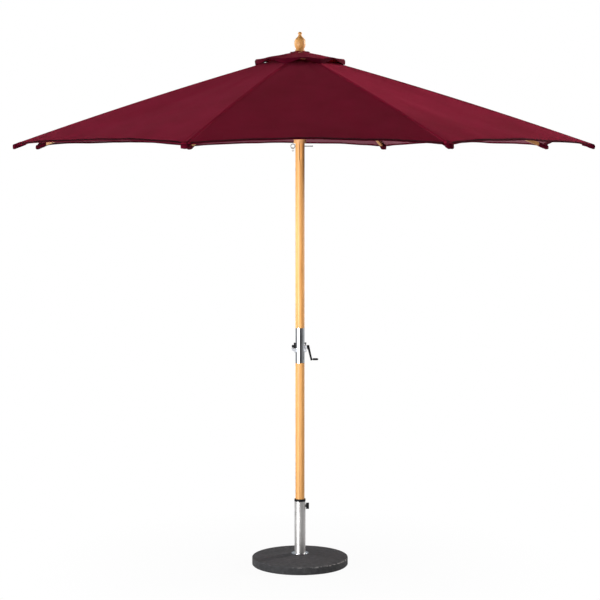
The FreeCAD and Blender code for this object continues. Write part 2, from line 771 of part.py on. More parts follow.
def make_runner():
    bore = named("pole_radius") + named("slide_clearance")
    top, bottom = runner_height + named("runner_top"), runner_height - named("runner_skirt")
    slot_bottom = runner_height - named("runner_slot_depth")
    edge = named("edge_break")
    corners = [
        (bore, bottom), (named("runner_skirt_radius"), bottom),
        (named("runner_skirt_radius"), slot_bottom - named("runner_web") - named("runner_cone")),
        (named("runner_radius"), slot_bottom - named("runner_web")), (named("runner_radius"), top - edge),
        (named("runner_radius") - edge, top), (bore, top),
    ]
    blank = turned("runner_blank", corners, {4: (edge, "right")})
    slots = radial_slots("runner_slot", strut_slot_width, named("runner_slot_floor"), named("runner_radius"),
                         slot_bottom, top + PAST)
    return cut("runner", blank, fuse("runner_openings", *slots, *pin_ring("runner_pin_hole", runner_height)))


# ---------------------------------------------------------------- ribs, struts and canopy

def make_rib_blank():
    """A rib along +X with its hub pin at the origin, bowed up and tapered to its outer end."""
    root_radius, tip = named("rib_root_radius"), named("rib_tip_half_depth")
    bow = (chord_length * chord_length / 4 + rise * rise) / (rise * 2)
    corners = [(0, -root_radius), (chord_length, -tip), (chord_length, tip), (0, root_radius)]
    bends = {0: (bow, "left"), 2: (bow, "right"), 3: (root_radius + 0.001, "right")}
    circles = [(0, 0, pin_hole), (pin_along, rib_at_pin, named("rivet_radius"))]
    return plate("rib_blank", named("rib_width"), corners, bends, circles)


def make_bracket_blank():
    """Two cheeks riveted to the rib's sides, with the strut's pin through their lower ends."""
    half_width = named("rib_width") / 2 + named("cheek_thickness")
    cheek_radius = named("strut_half_depth") + 1
    pieces = []
    for label, start in (("near", -half_width), ("far", named("rib_width") / 2)):
        for height, where in ((-pin_drop, "low"), (rib_at_pin, "high")):
            pieces.append(rod("cheek_%s_%s" % (label, where), cheek_radius, named("cheek_thickness"),
                              "Y", pin_along, start, height))
        pieces.append(block("cheek_%s_web" % label, cheek_radius * 2, named("cheek_thickness"),
                            pin_drop + rib_at_pin, pin_along - cheek_radius, start, -pin_drop))
    pieces.append(rod("bracket_pin", named("pin_radius"), half_width * 2 + 2, "Y", pin_along,
                      -half_width - 1, -pin_drop))
    pieces.append(rod("bracket_rivet", named("rivet_radius"), half_width * 2 + 2, "Y", pin_along,
                      -half_width - 1, rib_at_pin))
    return pieces


def make_strut_blank():
    """A strut along -X from its rib pin at the origin to its runner pin."""
    depth = named("strut_half_depth")
    corners = [(0, -depth), (0, depth), (-strut_length, depth), (-strut_length, -depth)]
    bends = {0: (depth + 0.001, "right"), 2: (depth + 0.001, "right")}
    circles = [(0, 0, pin_hole), (-strut_length, 0, pin_hole)]
    return plate("strut_blank", named("strut_width"), corners, bends, circles)


def along_panel(radius):
    """Distance from the axis along a panel's middle, for a radius on its ribs."""
    return radius * math.cos(math.radians(SECTOR / 2))


def make_gore_side(vent):
    """Side view of a gore's fabric from the vent to the hem, as wide as a gore can be."""
    slope = chord_drop / chord_run
    steepness = chord_length / chord_run
    clearance = named("fabric_gap") + named("rib_width") / 2 * slope * EDGE_SLOPE
    share = (vent - pin_circle) / chord_run
    rib_at_vent = hub_height - chord_drop * share + rise * 4 * share * (as_size(1) - share)
    vent_height = rib_at_vent + named("rib_root_radius") * steepness + clearance
    hem_height = named("canopy_corner_height") + named("rib_tip_half_depth") * steepness + clearance
    run, drop = along_panel(canopy_radius - vent), vent_height - hem_height
    fullness = (canopy_radius - vent) / chord_run
    panel_rise = rise * fullness * fullness
    bow = ((run * run + drop * drop) / 4 + panel_rise * panel_rise) / (panel_rise * 2)
    start, end, thick = along_panel(vent), along_panel(canopy_radius), named("fabric_thickness")
    corners = [
        (start, vent_height), (end, hem_height), (end, hem_height + thick), (start, vent_height + thick),
    ]
    return plate("gore_side", canopy_radius * 2, corners, {0: (bow, "left"), 2: (bow, "right")})


def make_gore_plan(vent):
    """Plan of a gore between two ribs, with seam gaps and a hollow hem."""
    half = math.radians(SECTOR / 2)
    gap, hollow = named("seam_gap"), named("hem_hollow")
    corners = []
    for radius, sign in ((vent, -1), (canopy_radius, -1), (canopy_radius, 1), (vent, 1)):
        half_width = radius * math.sin(half) - gap / math.cos(half)
        corners.append((radius * math.cos(half) - gap * math.sin(half), half_width * sign))
    half_hem = canopy_radius * math.sin(half) - gap / math.cos(half)
    bends = {1: ((half_hem * half_hem + hollow * hollow) / (hollow * 2), "left")}
    return plate("gore_plan", hub_height * 2.5, corners, bends, flat=True)


def make_gore_blank():
    """One gore of the canopy, centred on +X."""
    gore = doc.addObject("Part::MultiCommon", "gore_blank")
    gore.Shapes = [make_gore_side(named("vent_radius")), make_gore_plan(named("vent_radius"))]
    return gore


def make_frame_and_canopy():
    rib_blank, strut_blank = make_rib_blank(), make_strut_blank()
    bracket_pieces = make_bracket_blank()
    gore_blank = make_gore_blank()
    made = []
    for number in range(1, RIB_COUNT + 1):
        rib = group("rib_%d" % number, rib_blank)
        place(rib, number, pin_circle.value, hub_height.value, chord_dip)
        bracket = fuse("rib_bracket_%d" % number, *bracket_pieces)
        place(bracket, number, pin_circle.value, hub_height.value, chord_dip)
        strut = group("strut_%d" % number, strut_blank)
        place(strut, number, strut_pin_radius.value, strut_pin_height.value, -strut_dip)
        panel = group("canopy_panel_%d" % number, gore_blank)
        place(panel, number + 0.5)
        made += [rib, bracket, strut, panel]
    return made


# ---------------------------------------------------------------- crown, finial and lock pin

def make_vent_cap():
    """An eight-sided cap of fabric over the vent, held under the finial, with its corners above the ribs."""
    boss, edge, thick = named("hub_boss_radius"), named("cap_radius"), named("fabric_thickness")
    rim = crown_height - named("cap_fall")
    stud = named("finial_stud_radius")
    corners = [
        (stud, crown_height), (boss, crown_height), (edge, rim), (edge, rim + thick),
        (boss, crown_height + thick), (stud, crown_height + thick),
    ]
    octagon = doc.addObject("Part::Prism", "cap_outline")
    octagon.Polygon = RIB_COUNT
    bind(octagon, Circumradius=edge, Height=crown_height * 2)
    octagon.Placement.Rotation = FreeCAD.Rotation(FreeCAD.Vector(0, 0, 1), SECTOR / 2)
    cap = doc.addObject("Part::MultiCommon", "vent_cap")
    cap.Shapes = [turned("vent_cap_cone", corners), octagon]
    return cap


def make_finial():
    """A turned knob: flared foot, waist, round bulb, thin neck and a small button on top."""
    foot = crown_height + named("fabric_thickness")
    full, stud = named("finial_height"), named("finial_stud_radius")
    base, waist, bulb = named("finial_base_radius"), named("finial_waist_radius"), named("finial_bulb_radius")
    neck, tip = named("finial_neck_radius"), named("finial_tip_radius")
    stud_bottom = foot - named("finial_stud_length")
    corners = [
        (0, stud_bottom), (stud, stud_bottom), (stud, foot), (base, foot), (base - 1, foot + full * 0.03),
        (waist, foot + full * 0.11), (bulb, foot + full * 0.43), (bulb * 0.72, foot + full * 0.66),
        (neck, foot + full * 0.82), (tip, foot + full * 0.9), (tip * 0.85, foot + full * 0.98),
        (tip * 0.5, foot + full), (0, foot + full),
    ]
    bends = {
        3: (full * 0.06, "right"), 5: (full * 0.6, "right"), 6: (full * 0.32, "right"),
        7: (full * 0.45, "left"), 8: (full * 0.1, "left"), 9: (full * 0.06, "right"),
        10: (full * 0.08, "right"),
    }
    return turned("finial", corners, bends)


def lock_pin_height():
    return runner_height - named("runner_skirt") - named("lock_pin_below_runner")


def pull_ring_centre():
    return -(named("pole_radius") + named("slide_clearance") + named("ring_radius") + named("ring_wire"))


def make_lock_pin():
    """A round pin through the pole with a pull ring on its left end and a button on its right end."""
    height, wire = lock_pin_height(), named("ring_wire")
    ring_centre = pull_ring_centre()
    stem_start = ring_centre + named("ring_radius")
    stem = rod("lock_stem", named("lock_pin_radius"), named("lock_pin_reach") - stem_start, "X",
               stem_start, 0, height)
    tip = rod("lock_tip", named("lock_pin_radius") + 0.5, named("lock_tip_length"), "X",
              named("lock_pin_reach") - named("lock_tip_length"), 0, height)
    pull_ring = ring("lock_pull_ring", named("ring_radius"), wire, "XZ", ring_centre, 0, height)
    return fuse("lock_pin", stem, tip, pull_ring)


def make_lock_link():
    """A small link that hangs from the lowest point of the pull ring, turned out of its plane."""
    wire, small = named("link_wire"), named("link_radius")
    ring_centre = pull_ring_centre()
    hang = named("ring_radius") - named("ring_wire") - wire - named("slot_clearance") + small
    link = ring("lock_link", small, wire, "XZ", ring_centre, 0, lock_pin_height() - hang)
    quarter = FreeCAD.Rotation(FreeCAD.Vector(0, 0, 1), LINK_TURN)
    link.Placement = FreeCAD.Placement(FreeCAD.Vector(), quarter * TURN["XZ"])
    return link


def write_parts(nodes):
    doc.recompute()
    for item in doc.Objects:
        if "Invalid" in item.State or "Error" in item.State:
            raise RuntimeError("%s: %s" % (item.Name, item.State))
    os.makedirs("parts", exist_ok=True)
    for node in nodes:
        if node.Shape.isNull() or not node.Shape.isValid() or not node.Shape.Solids:
            raise RuntimeError("bad shape: " + node.Label)
        node.Shape.exportStep("parts/%s.step" % node.Label)


nodes = [
    make_base_weight(), make_base_feet(), make_base_flange(), make_base_bolt(), make_base_tube(),
    *make_clamp(), make_reducer_collar(), make_lower_pole(), make_upper_pole(), make_pulley_wheel(),
    make_joint_sleeve(), make_sleeve_screws(), make_winch_right(), make_winch_left(), make_winch_cover(),
    make_winch_drum(), make_crank_arm(),
    make_crank_grip(), make_top_hub(), group("hub_pins", *pin_ring("hub_pin", hub_height)),
    make_runner(), group("runner_pins", *pin_ring("runner_pin", runner_height)),
    *make_frame_and_canopy(), make_vent_cap(), make_finial(), make_lock_pin(),
    make_lock_link(),
]
write_parts(nodes)
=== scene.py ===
import json
import math

import bpy
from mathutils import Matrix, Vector, noise


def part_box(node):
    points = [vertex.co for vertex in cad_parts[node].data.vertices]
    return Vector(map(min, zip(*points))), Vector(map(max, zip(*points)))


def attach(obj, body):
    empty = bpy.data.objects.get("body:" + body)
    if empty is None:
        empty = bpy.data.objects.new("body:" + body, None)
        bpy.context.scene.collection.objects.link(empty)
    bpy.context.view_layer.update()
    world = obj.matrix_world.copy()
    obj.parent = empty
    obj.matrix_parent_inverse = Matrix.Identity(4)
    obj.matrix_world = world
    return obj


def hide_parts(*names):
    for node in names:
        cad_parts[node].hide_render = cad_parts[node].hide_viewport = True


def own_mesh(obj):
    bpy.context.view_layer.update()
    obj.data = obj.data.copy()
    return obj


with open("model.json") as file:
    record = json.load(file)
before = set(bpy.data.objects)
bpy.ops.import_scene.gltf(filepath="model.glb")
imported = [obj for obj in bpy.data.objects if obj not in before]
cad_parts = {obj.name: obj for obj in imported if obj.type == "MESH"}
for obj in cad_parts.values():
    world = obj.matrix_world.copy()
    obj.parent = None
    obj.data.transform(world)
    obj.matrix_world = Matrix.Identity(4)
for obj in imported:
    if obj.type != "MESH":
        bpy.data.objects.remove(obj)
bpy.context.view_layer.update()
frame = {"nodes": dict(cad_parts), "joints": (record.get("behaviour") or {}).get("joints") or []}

# Patio umbrella with base. Metres, +Z up, crank towards +X.

JOINTS = {joint["name"]: joint for joint in frame["joints"]}

RIBS = 8
SECTOR = 2 * math.pi / RIBS
HALF = SECTOR / 2

hub_pin = JOINTS["canopy_fold"]["pos_m"]
PIN_RADIUS = math.hypot(hub_pin[0], hub_pin[1])
HUB_Z = hub_pin[2]
PANEL_LOW, PANEL_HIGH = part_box("canopy_panel_8")
CANOPY_R = PANEL_HIGH.x / math.cos(HALF)
CLOTH_MIDDLE = 0.0006            # from the face of a CAD sheet to the middle of the cloth
RIM_Z = PANEL_LOW.z + CLOTH_MIDDLE
CANOPY_FALL = 0.31               # how far the ribs fall for each metre outwards
RIB_RISE = 0.013                 # bow of a rib above its chord
CLOTH_AT_HUB = 0.0134            # cloth above the rib's middle line
CLOTH_AT_RIM = 0.0112
VENT_R = 0.130
CAP_LOW, CAP_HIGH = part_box("vent_cap")
CAP_R = CAP_HIGH.x / math.cos(HALF)
CAP_SLOPE = (CAP_HIGH.z - CAP_LOW.z) / CAP_R
HEM_HOLLOW = 0.036               # share of the radius by which a hem's middle lies inside
HEM_WIDTH = 0.022
SAG = 0.010                      # of a gore's middle, between two ribs
HEM_DROOP = 0.007                # of the hem, next to a corner
CROWN_R = 0.050                  # cloth round held down by the finial
CLOTH = 0.0009                   # thickness of the fabric
THREAD_PITCH = 0.0011            # of the weave


# ---------------------------------------------------------------- small helpers

def polar(angle, radius, height):
    return Vector((radius * math.cos(angle), radius * math.sin(angle), height))


def sideways(angle):
    """The level direction across a rib, anticlockwise."""
    return Vector((-math.sin(angle), math.cos(angle), 0))


def smooth(value):
    value = min(1.0, max(0.0, value))
    return value * value * (3 - 2 * value)


def rib_angle(number):
    return SECTOR * (number - 0.5)


def piece(name, verts, faces, materials, body, uvs, face_slots=None):
    """A cloth object that rides on a body."""
    mesh = bpy.data.meshes.new(name)
    mesh.from_pydata([tuple(v) for v in verts], [], faces)
    for material in materials:
        mesh.materials.append(material)
    if face_slots is not None:
        for polygon, index in zip(mesh.polygons, face_slots):
            polygon.material_index = index
    layer = mesh.uv_layers.new(name="cloth")
    for loop in mesh.loops:
        layer.data[loop.index].uv = uvs[loop.vertex_index]
    mesh.update()
    mesh.shade_smooth()
    item = bpy.data.objects.new(name, mesh)
    bpy.context.scene.collection.objects.link(item)
    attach(item, body)
    return item


def grid_faces(across, along):
    """Quads, facing up, of a grid whose rows run outwards and whose columns run anticlockwise."""
    faces = []
    for row in range(along - 1):
        for column in range(across - 1):
            first = row * across + column
            faces.append((first, first + across, first + across + 1, first + 1))
    return faces


def facing_back(faces):
    return [face[::-1] for face in faces]


def tube_faces(around, rows):
    """Quads of a tube or disc whose points are stored ring by ring."""
    faces = []
    for row in range(rows - 1):
        for step in range(around):
            following = (step + 1) % around
            faces.append((row * around + step, row * around + following,
                          (row + 1) * around + following, (row + 1) * around + step))
    return faces


def thicken(item, thickness, offset=0.0, under_slot=0):
    solid = item.modifiers.new("thickness", "SOLIDIFY")
    solid.thickness = thickness
    solid.offset = offset
    solid.use_even_offset = False
    solid.material_offset = under_slot
    solid.material_offset_rim = 0


# ---------------------------------------------------------------- materials

def new_material(name):
    material = bpy.data.materials.new(name)
    material.use_nodes = True
    shader = material.node_tree.nodes["Principled BSDF"]
    return material, material.node_tree.nodes, material.node_tree.links, shader


def ramp(nodes, links, source, stops):
    node = nodes.new("ShaderNodeValToRGB")
    elements = node.color_ramp.elements
    while len(elements) < len(stops):
        elements.new(0.5)
    for element, (position, colour) in zip(elements, stops):
        element.position = position
        element.color = (*colour, 1)
    links.new(source, node.inputs["Fac"])
    return node.outputs["Color"]


def value_range(nodes, links, source, low, high, out_low, out_high):
    node = nodes.new("ShaderNodeMapRange")
    for name, number in zip(("From Min", "From Max", "To Min", "To Max"), (low, high, out_low, out_high)):
        node.inputs[name].default_value = number
    links.new(source, node.inputs["Value"])
    return node.outputs["Result"]


def math_node(nodes, links, operation, *sources):
    node = nodes.new("ShaderNodeMath")
    node.operation = operation
    for socket, source in zip(node.inputs, sources):
        if isinstance(source, (int, float)):
            socket.default_value = source
        else:
            links.new(source, socket)
    return node.outputs[0]


def scaled_coordinates(nodes, links, scale, source=None):
    mapping = nodes.new("ShaderNodeMapping")
    mapping.inputs["Scale"].default_value = scale
    if source is None:
        source = nodes.new("ShaderNodeTexCoord").outputs["Object"]
    links.new(source, mapping.inputs["Vector"])
    return mapping.outputs["Vector"]


def separate(nodes, links, source):
    """The three parts of a vector, as the node's outputs."""
    node = nodes.new("ShaderNodeSeparateXYZ")
    links.new(source, node.inputs[0])
    return node.outputs


def combine(nodes, links, parts):
    """A vector, or a grey, from its three parts."""
    node = nodes.new("ShaderNodeCombineXYZ")
    for socket, source in zip(node.inputs, parts):
        links.new(source, socket)
    return node.outputs[0]


def distance_from_axis(nodes, links, place):
    """Distance from the Z axis of a point given by its three parts."""
    squares = [math_node(nodes, links, "MULTIPLY", place[axis], place[axis]) for axis in "XY"]
    return math_node(nodes, links, "SQRT", math_node(nodes, links, "ADD", *squares))


def noise_texture(nodes, links, vector, scale, detail=4.0, roughness=0.55, distortion=0.0):
    node = nodes.new("ShaderNodeTexNoise")
    node.inputs["Scale"].default_value = scale
    node.inputs["Detail"].default_value = detail
    node.inputs["Roughness"].default_value = roughness
    node.inputs["Distortion"].default_value = distortion
    links.new(vector, node.inputs["Vector"])
    return node.outputs["Fac"]


def add_bump(nodes, links, shader, height, distance, strength=1.0):
    bump = nodes.new("ShaderNodeBump")
    bump.inputs["Distance"].default_value = distance
    bump.inputs["Strength"].default_value = strength
    links.new(height, bump.inputs["Height"])
    links.new(bump.outputs["Normal"], shader.inputs["Normal"])


def mix_colour(nodes, links, factor, first, second, kind="MIX"):
    node = nodes.new("ShaderNodeMix")
    node.data_type = "RGBA"
    node.blend_type = kind
    if isinstance(factor, (int, float)):
        node.inputs[0].default_value = factor
    else:
        links.new(factor, node.inputs[0])
    for socket, source in ((node.inputs[6], first), (node.inputs[7], second)):
        if isinstance(source, tuple):
            socket.default_value = (*source, 1)
        else:
            links.new(source, socket)
    return node.outputs[2]


def cloth_material(name, deep, bright, sheen):
    """Plain-woven polyester: fine crossing threads, slubs, and soft patches of fading."""
    material, nodes, links, shader = new_material(name)
    uv = nodes.new("ShaderNodeUVMap")
    uv.uv_map = "cloth"
    flat_place = separate(nodes, links, uv.outputs["UV"])
    threads = []
    for axis in "XY":
        turns = math_node(nodes, links, "MULTIPLY", flat_place[axis], 2 * math.pi / THREAD_PITCH)
        threads.append(math_node(nodes, links, "SINE", turns))
    weave = math_node(nodes, links, "MULTIPLY", *threads)
    drawn_out = scaled_coordinates(nodes, links, (900, 60, 1), uv.outputs["UV"])
    slub = noise_texture(nodes, links, drawn_out, 1.0, 2.0)
    height = math_node(nodes, links, "ADD", weave, slub)
    patches = noise_texture(nodes, links, scaled_coordinates(nodes, links, (1, 1, 1)), 3.5, 6.0, 0.62)
    colour = ramp(nodes, links, patches, [(0.32, deep), (0.68, bright)])
    tint = value_range(nodes, links, weave, -1.0, 1.0, 0.86, 1.1)
    colour = mix_colour(nodes, links, 1.0, colour, combine(nodes, links, [tint] * 3), "MULTIPLY")
    links.new(colour, shader.inputs["Base Color"])
    rough = value_range(nodes, links, slub, 0.3, 0.7, 0.72, 0.9)
    links.new(rough, shader.inputs["Roughness"])
    shader.inputs["Sheen Weight"].default_value = sheen
    shader.inputs["Sheen Roughness"].default_value = 0.45
    shader.inputs["Sheen Tint"].default_value = (1.0, 0.72, 0.76, 1)
    shader.inputs["Specular IOR Level"].default_value = 0.02
    add_bump(nodes, links, shader, height, 0.00018, 0.7)
    return material


def wood_material(name, light, middle, dark, radial):
    """Varnished wood with grain along the pole, or along the ribs when radial."""
    material, nodes, links, shader = new_material(name)
    coordinates = nodes.new("ShaderNodeTexCoord").outputs["Object"]
    if radial:
        place = separate(nodes, links, coordinates)
        reach = distance_from_axis(nodes, links, place)
        turn = math_node(nodes, links, "ARCTAN2", place["Y"], place["X"])
        fall = math_node(nodes, links, "MULTIPLY", reach, CANOPY_FALL)
        level = math_node(nodes, links, "ADD", place["Z"], fall)
        coordinates = combine(nodes, links, (turn, level, reach))
    coarse_grain = scaled_coordinates(nodes, links, (38, 38, 1.1), coordinates)
    fine_grain = scaled_coordinates(nodes, links, (420, 420, 7), coordinates)
    streaks = noise_texture(nodes, links, coarse_grain, 1.0, 5.0, 0.6, 0.6)
    fibre = noise_texture(nodes, links, fine_grain, 1.0, 3.0)
    colour = ramp(nodes, links, streaks, [(0.3, dark), (0.48, middle), (0.66, light)])
    pores = value_range(nodes, links, fibre, 0.35, 0.5, 0.78, 1.04)
    colour = mix_colour(nodes, links, 1.0, colour, combine(nodes, links, [pores] * 3), "MULTIPLY")
    links.new(colour, shader.inputs["Base Color"])
    links.new(value_range(nodes, links, fibre, 0.3, 0.7, 0.46, 0.62), shader.inputs["Roughness"])
    shader.inputs["Coat Weight"].default_value = 0.08
    shader.inputs["Coat Roughness"].default_value = 0.30
    add_bump(nodes, links, shader, fibre, 0.0003, 0.5)
    return material


def metal_material(name, colour, roughness, brushing, metallic=1.0):
    """Metal with fine brushing round the Z axis, fingerprints and small scratches."""
    material, nodes, links, shader = new_material(name)
    lines = noise_texture(nodes, links, scaled_coordinates(nodes, links, (18, 18, 1400)), 1.0, 3.0)
    smudge = noise_texture(nodes, links, scaled_coordinates(nodes, links, (1, 1, 1)), 26.0, 5.0)
    darker = tuple(part * 0.82 for part in colour)
    links.new(ramp(nodes, links, smudge, [(0.3, darker), (0.62, colour)]), shader.inputs["Base Color"])
    rough = value_range(nodes, links, smudge, 0.35, 0.7, roughness * 0.8, roughness * 1.35)
    links.new(rough, shader.inputs["Roughness"])
    shader.inputs["Metallic"].default_value = metallic
    add_bump(nodes, links, shader, lines, 0.0001, brushing)
    return material


def plastic_material(name, colour, roughness, grain):
    """Moulded plastic or powder coat: a fine pebbled surface with dusty patches."""
    material, nodes, links, shader = new_material(name)
    pebble = noise_texture(nodes, links, scaled_coordinates(nodes, links, (1, 1, 1)), 1100.0, 2.0)
    dust = noise_texture(nodes, links, scaled_coordinates(nodes, links, (1, 1, 1)), 22.0, 6.0)
    dusty = tuple(part * 1.9 + 0.002 for part in colour)
    links.new(ramp(nodes, links, dust, [(0.42, colour), (0.78, dusty)]), shader.inputs["Base Color"])
    rough = value_range(nodes, links, dust, 0.3, 0.7, roughness * 0.85, roughness * 1.2)
    links.new(rough, shader.inputs["Roughness"])
    shader.inputs["Specular IOR Level"].default_value = 0.15
    add_bump(nodes, links, shader, pebble, 0.0002, grain)
    return material


def concrete_material():
    """Black paint on rough concrete, with chips of bare grey along the rim, dusty patches, and painted
    light: a lighter top and darker sides.
    """
    material, nodes, links, shader = new_material("painted_concrete")
    place = scaled_coordinates(nodes, links, (1, 1, 1))
    parts = separate(nodes, links, place)
    coarse = noise_texture(nodes, links, place, 48.0, 8.0, 0.7)
    fine = noise_texture(nodes, links, place, 420.0, 5.0, 0.7)
    pits = nodes.new("ShaderNodeTexVoronoi")
    pits.inputs["Scale"].default_value = 85.0
    links.new(place, pits.inputs["Vector"])
    lumps = math_node(nodes, links, "MULTIPLY", coarse, 1.4)
    hollows = math_node(nodes, links, "MULTIPLY", pits.outputs["Distance"], 0.5)
    height = math_node(nodes, links, "ADD", math_node(nodes, links, "ADD", lumps, fine), hollows)
    # painted light: the sides take a darker paint and the top a lighter one, mixed by which way the surface
    # faces
    shaded_side_paint = ramp(nodes, links, coarse, [(0.3, (0.020, 0.020, 0.022)), (0.7, (0.046, 0.046, 0.050))])
    lit_top_paint = ramp(nodes, links, coarse, [(0.3, (0.085, 0.085, 0.090)), (0.7, (0.165, 0.165, 0.172))])
    reach = distance_from_axis(nodes, links, parts)
    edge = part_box("base_weight")[1]
    upward = separate(nodes, links, nodes.new("ShaderNodeTexCoord").outputs["Normal"])
    lit_top_share = value_range(nodes, links, upward["Z"], 0.3, 0.9, 0.0, 1.0)
    paint = mix_colour(nodes, links, lit_top_share, shaded_side_paint, lit_top_paint)
    outer = value_range(nodes, links, reach, edge.x - 0.010, edge.x - 0.001, 0.0, 1.0)
    near_top = value_range(nodes, links, parts["Z"], edge.z - 0.0225, edge.z - 0.0165, 0.0, 1.0)
    rim = math_node(nodes, links, "MULTIPLY", outer, near_top)
    chip_noise = noise_texture(nodes, links, place, 70.0, 6.0, 0.75)
    spots = value_range(nodes, links, chip_noise, 0.5, 0.56, 0.0, 1.0)
    worn_side = value_range(nodes, links, parts["X"], -0.07, 0.03, 0.0, 1.0)
    chips = math_node(nodes, links, "MULTIPLY", rim, math_node(nodes, links, "MULTIPLY", spots, worn_side))
    dust_noise = noise_texture(nodes, links, place, 9.0, 7.0, 0.7)
    dust = value_range(nodes, links, dust_noise, 0.5, 0.75, 0.0, 0.35)
    colour = mix_colour(nodes, links, dust, paint, (0.16, 0.155, 0.15))
    colour = mix_colour(nodes, links, chips, colour, (0.42, 0.41, 0.40))
    links.new(colour, shader.inputs["Base Color"])
    links.new(value_range(nodes, links, fine, 0.3, 0.7, 0.55, 0.85), shader.inputs["Roughness"])
    shader.inputs["Specular IOR Level"].default_value = 0.4
    add_bump(nodes, links, shader, height, 0.0022, 0.8)
    return material


CLOTH_TOP = cloth_material("burgundy_cloth", (0.33, 0.006, 0.036), (0.41, 0.009, 0.05), 0.03)
CLOTH_UNDER = cloth_material("burgundy_cloth_underside", (0.22, 0.045, 0.075), (0.27, 0.065, 0.10), 0.15)
# painted shade: the binding cloth for the hems, corner pockets and the cap's skirt is far darker than the
# canopy cloth
BINDING_PAINTED_SHADE = cloth_material("burgundy_binding_painted_shade", (0.06, 0.0012, 0.008), (0.095, 0.002, 0.013), 0.02)
THREAD = cloth_material("burgundy_thread", (0.42, 0.035, 0.08), (0.50, 0.05, 0.10), 0.1)
POLE_WOOD = wood_material("pole_wood", (0.76, 0.405, 0.135), (0.68, 0.325, 0.09), (0.49, 0.20, 0.045), False)
FRAME_WOOD = wood_material("frame_wood", (0.78, 0.45, 0.20), (0.66, 0.33, 0.12), (0.44, 0.19, 0.06), True)
CHROME = metal_material("polished_steel", (0.80, 0.82, 0.85), 0.025, 0.01)
STEEL = metal_material("brushed_steel", (0.66, 0.65, 0.64), 0.46, 0.35)
ZINC = metal_material("zinc_steel", (0.50, 0.51, 0.53), 0.26, 0.10)
PIN_STEEL = metal_material("pin_steel", (0.17, 0.17, 0.18), 0.36, 0.10)
CAST = metal_material("cast_grey", (0.80, 0.83, 0.88), 0.40, 0.15, 0.5)
BLACK_METAL = plastic_material("black_powder_coat", (0.006, 0.006, 0.007), 0.38, 0.25)
BLACK_PLASTIC = plastic_material("black_plastic", (0.008, 0.008, 0.009), 0.46, 0.35)
RUBBER = plastic_material("foot_rubber", (0.018, 0.018, 0.018), 0.8, 0.5)
CONCRETE = concrete_material()

NODE_MATERIALS = {
    "base_weight": CONCRETE, "base_feet": RUBBER, "base_flange": CHROME, "base_bolt": ZINC,
    "base_tube": STEEL, "clamp_pad": ZINC, "clamp_screw": ZINC, "clamp_knob": BLACK_PLASTIC,
    "reducer_collar": BLACK_PLASTIC, "lower_pole": POLE_WOOD, "upper_pole": POLE_WOOD,
    "joint_sleeve": CHROME, "sleeve_screws": CHROME, "winch_housing_right": CAST,
    "winch_housing_left": CAST, "winch_cover": BLACK_PLASTIC, "winch_drum": ZINC,
    "crank_arm": BLACK_METAL, "crank_grip": BLACK_PLASTIC, "top_hub": FRAME_WOOD, "hub_pins": ZINC,
    "runner": FRAME_WOOD, "runner_pins": ZINC, "finial": POLE_WOOD, "pulley_wheel": ZINC,
    "lock_pin": PIN_STEEL, "lock_link": ZINC,
}
for number in range(1, RIBS + 1):
    NODE_MATERIALS["rib_%d" % number] = FRAME_WOOD
    NODE_MATERIALS["strut_%d" % number] = FRAME_WOOD
    NODE_MATERIALS["rib_bracket_%d" % number] = ZINC
for name, material in NODE_MATERIALS.items():
    node = frame["nodes"][name]
    node.data.materials.clear()
    node.data.materials.append(material)


# ---------------------------------------------------------------- canopy

def cloth_height(radius):
    """Height of the cloth over a rib."""
    share = (radius - PIN_RADIUS) / (CANOPY_R - PIN_RADIUS)
    tip = RIM_Z - CLOTH_AT_RIM
    over = CLOTH_AT_HUB + (CLOTH_AT_RIM - CLOTH_AT_HUB) * share
    return HUB_Z + (tip - HUB_Z) * share + 4 * RIB_RISE * share * (1 - share) + over


def ripple(number, across, radius):
    """Gentle creases that run from the crown to the hem, none at the seams."""
    fade = math.sin(math.pi * across) ** 0.7
    spread = 0.35 + 0.65 * radius / CANOPY_R
    seed = number * 17.3
    soft = noise.noise(Vector((across * 5.5, radius * 1.6, seed)))
    fine = noise.noise(Vector((across * 13.0, radius * 3.5, seed + 40)))
    folds = math.sin(2 * math.pi * (3.5 * across + 0.15 * soft) + seed)
    broad_part, fine_part, fold_part = 0.0045, 0.0016, 0.0011      # metres, at the hem
    return fade * spread * (broad_part * soft + fine_part * fine + fold_part * folds)


def chord_point(number, across, radius):
    """A point at height 0, between rib number and the next one."""
    return polar(rib_angle(number), radius, 0).lerp(polar(rib_angle(number + 1), radius, 0), across)


def gore_point(number, across, radius, lift=0.0):
    point = chord_point(number, across, radius)
    middle = math.sin(math.pi * across)
    sag = SAG * middle * smooth((radius - 0.2) / 0.6) * smooth((CANOPY_R - radius) / 0.5)
    beside_rib = smooth((abs(across - 0.5) - 0.42) / 0.06)
    droop = HEM_DROOP * beside_rib * smooth((radius - CANOPY_R + 0.07) / 0.07)
    point.z = cloth_height(radius) - sag - droop * middle ** 0.3 + ripple(number, across, radius) + lift
    return point


def hem_radius(across):
    return CANOPY_R * (1 - HEM_HOLLOW * math.sin(math.pi * across))


def furl(item):
    """Give a piece of cloth its own copy of its mesh."""
    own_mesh(item)


def main_gore(number):
    columns, rows = 41, 70
    hem_lift, hem_step = 0.0007, 0.003     # the doubled cloth stands up, over this width
    verts, uvs = [], []
    for row in range(rows):
        share = row / (rows - 1)
        for column in range(columns):
            across = column / (columns - 1)
            outer = hem_radius(across)
            radius = VENT_R + (outer - VENT_R) * share
            in_hem = smooth((radius - (outer - HEM_WIDTH)) / hem_step)
            verts.append(gore_point(number, across, radius, hem_lift * in_hem))
            uvs.append(((across - 0.5) * radius * 2 * math.sin(HALF), radius))
    gore = piece("gore_%d" % number, verts, grid_faces(columns, rows), [CLOTH_TOP, CLOTH_UNDER],
                 "rib_%d" % number, uvs)
    thicken(gore, CLOTH, under_slot=1)
    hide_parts("canopy_panel_%d" % number)
    return gore


